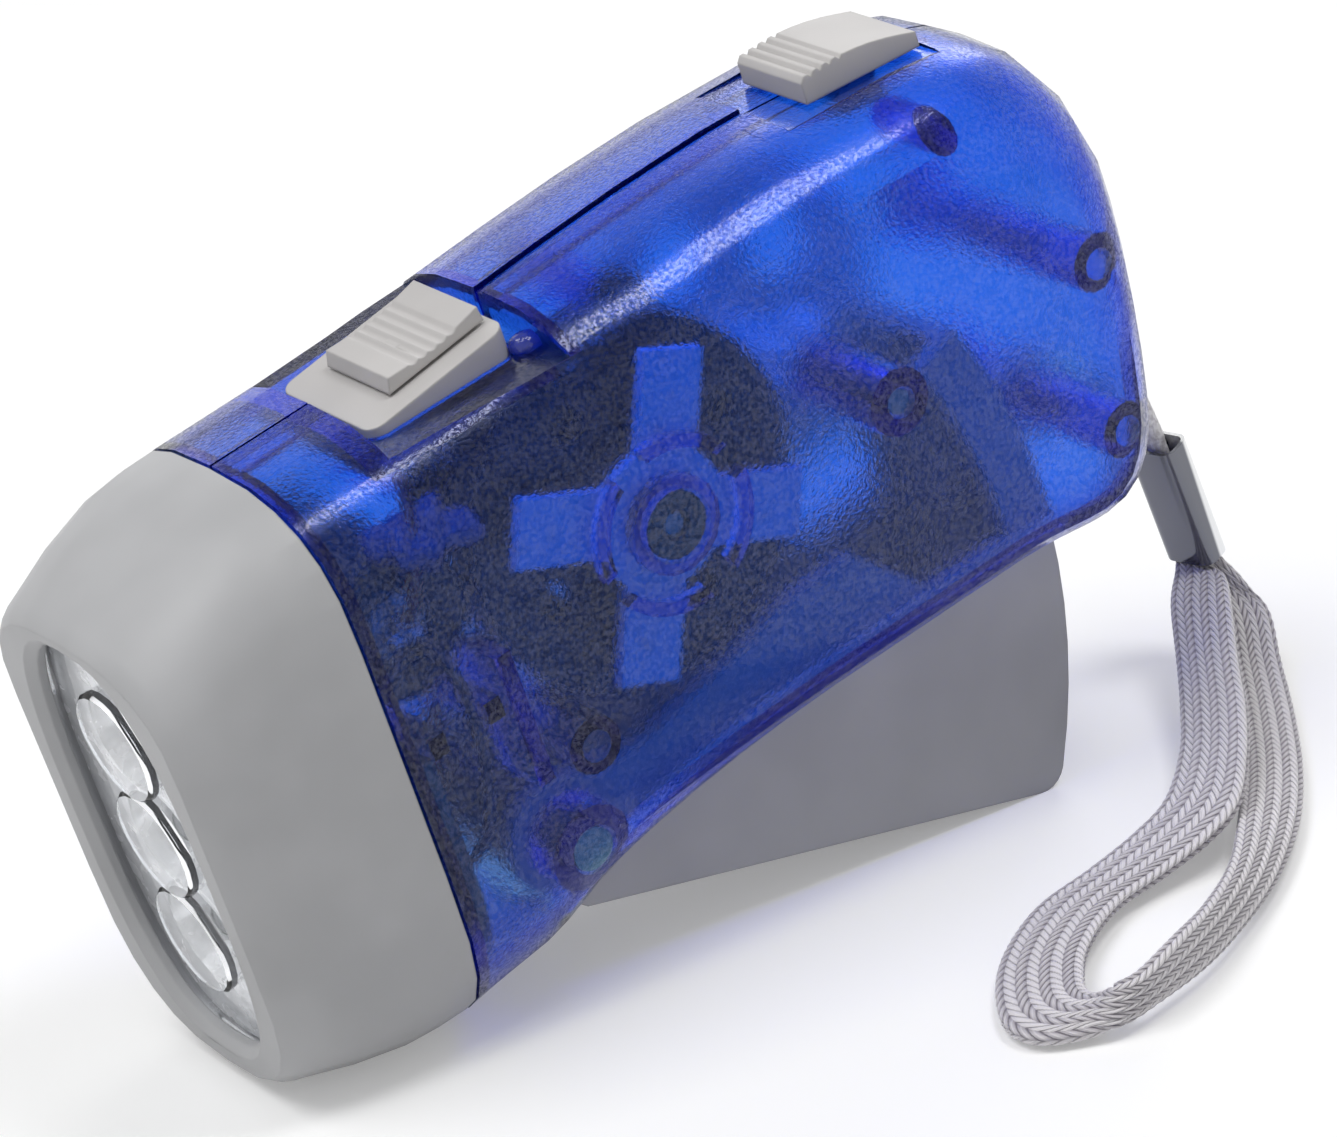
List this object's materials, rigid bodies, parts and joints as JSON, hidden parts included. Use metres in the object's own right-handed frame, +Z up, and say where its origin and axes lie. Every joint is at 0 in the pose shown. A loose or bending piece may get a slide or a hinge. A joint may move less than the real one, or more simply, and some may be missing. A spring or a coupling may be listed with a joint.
{
  "type": "squeeze-lever dynamo flashlight",
  "caption": "Hand-powered flashlight in a see-through body: squeezing a sprung lever spins a geared flywheel dynamo that feeds the lamps in its head; a wrist strap hangs at the tail.",
  "frame": {"origin": "centre of the torch from front to back and side to side, without its strap, on the surface it stands on", "axes": "+X back from the lens to the tail, +Y from the plain left shell to the right shell that takes the screws, +Z up"},
  "size_m": [0.1202, 0.0653, 0.0724],
  "materials": {
    "clear_blue": "see-through, fine frosted texture",
    "head_grey": "satin",
    "clear_lens": "clear, polished",
    "lamp": "clear, moulded",
    "chrome": "mirror",
    "board_green": "lacquered board",
    "steel": "plain drawn steel",
    "polished_steel": "polished",
    "lever_grey": "satin",
    "button_grey": "satin",
    "white_nylon": "satin",
    "dark_iron": "dark, oiled",
    "magnet": "pressed powder",
    "copper": "enamelled winding",
    "black_plastic": "plain",
    "webbing": "flat braid, white with grey stripes"
  },
  "bodies": {
    "case": {"left_shell": "clear_blue", "right_shell": "clear_blue", "head_bezel": "head_grey", "lens_window": "clear_lens", "reflector": "chrome", "led_1": "lamp", "led_2": "lamp", "led_3": "lamp", "led_board": "board_green", "case_screw_1": "steel", "case_screw_2": "steel", "case_screw_3": "steel", "lever_pin": "steel", "gear_axle": "steel", "shaft_bush_left": "black_plastic", "shaft_bush_right": "black_plastic", "claw_pole_outer": "dark_iron", "claw_pole_inner": "dark_iron", "coil_spool": "white_nylon", "coil_winding": "copper", "dynamo_bracket": "black_plastic", "bracket_screw_1": "steel", "bracket_screw_2": "steel", "switch_plate": "button_grey", "switch_body": "steel", "cell_1": "steel", "cell_2": "steel", "cell_3": "steel", "cell_sleeve": "black_plastic", "circuit_board": "board_green", "capacitor": "black_plastic", "diode_1": "black_plastic", "diode_2": "black_plastic", "diode_3": "black_plastic", "diode_4": "black_plastic", "strap_ferrule": "polished_steel", "strap_neck": "webbing", "strap_webbing": "webbing"},
    "lever_arm": {"lever": "lever_grey", "return_spring": "steel"},
    "gear": {"drive_gear": "white_nylon"},
    "flywheel": {"flywheel_cup": "dark_iron", "flywheel_spider": "white_nylon", "magnet_ring": "magnet", "flywheel_shaft": "steel", "flywheel_pinion": "white_nylon"},
    "knob": {"switch_knob": "button_grey"},
    "lock": {"lock_slider": "button_grey"}
  },
  "joints": [
    {"name": "flywheel_spin", "type": "hinge", "parent": "case", "child": "flywheel", "pos_m": [-0.00173, 0, 0.04102], "axis": [0, 1, 0], "range_deg": [0, 535]},
    {"name": "gear_spin", "type": "hinge", "parent": "case", "child": "gear", "pos_m": [0.02202, 0, 0.04451], "axis": [0, 1, 0], "range_deg": [-270, 0]},
    {"name": "lever_squeeze", "type": "hinge", "parent": "case", "child": "lever_arm", "pos_m": [-0.0136, 0, 0.0154], "axis": [0, -1, 0], "range_deg": [0, 21.4], "stiffness_Nm_per_rad": 0.12, "springref_deg": -51.57},
    {"name": "switch_slide", "type": "slide", "parent": "case", "child": "knob", "axis": [-0.9395, 0, -0.3425], "range_m": [0, 0.0025]},
    {"name": "lock_slide", "type": "slide", "parent": "case", "child": "lock", "axis": [-0.9889, 0, -0.1485], "range_m": [0, 0.0034]}
  ],
  "couplings": [
    {"joint": "gear_spin", "follows": "flywheel_spin", "ratio": -0.5},
    {"joint": "lever_squeeze", "follows": "flywheel_spin", "ratio": 0.04}
  ]
}
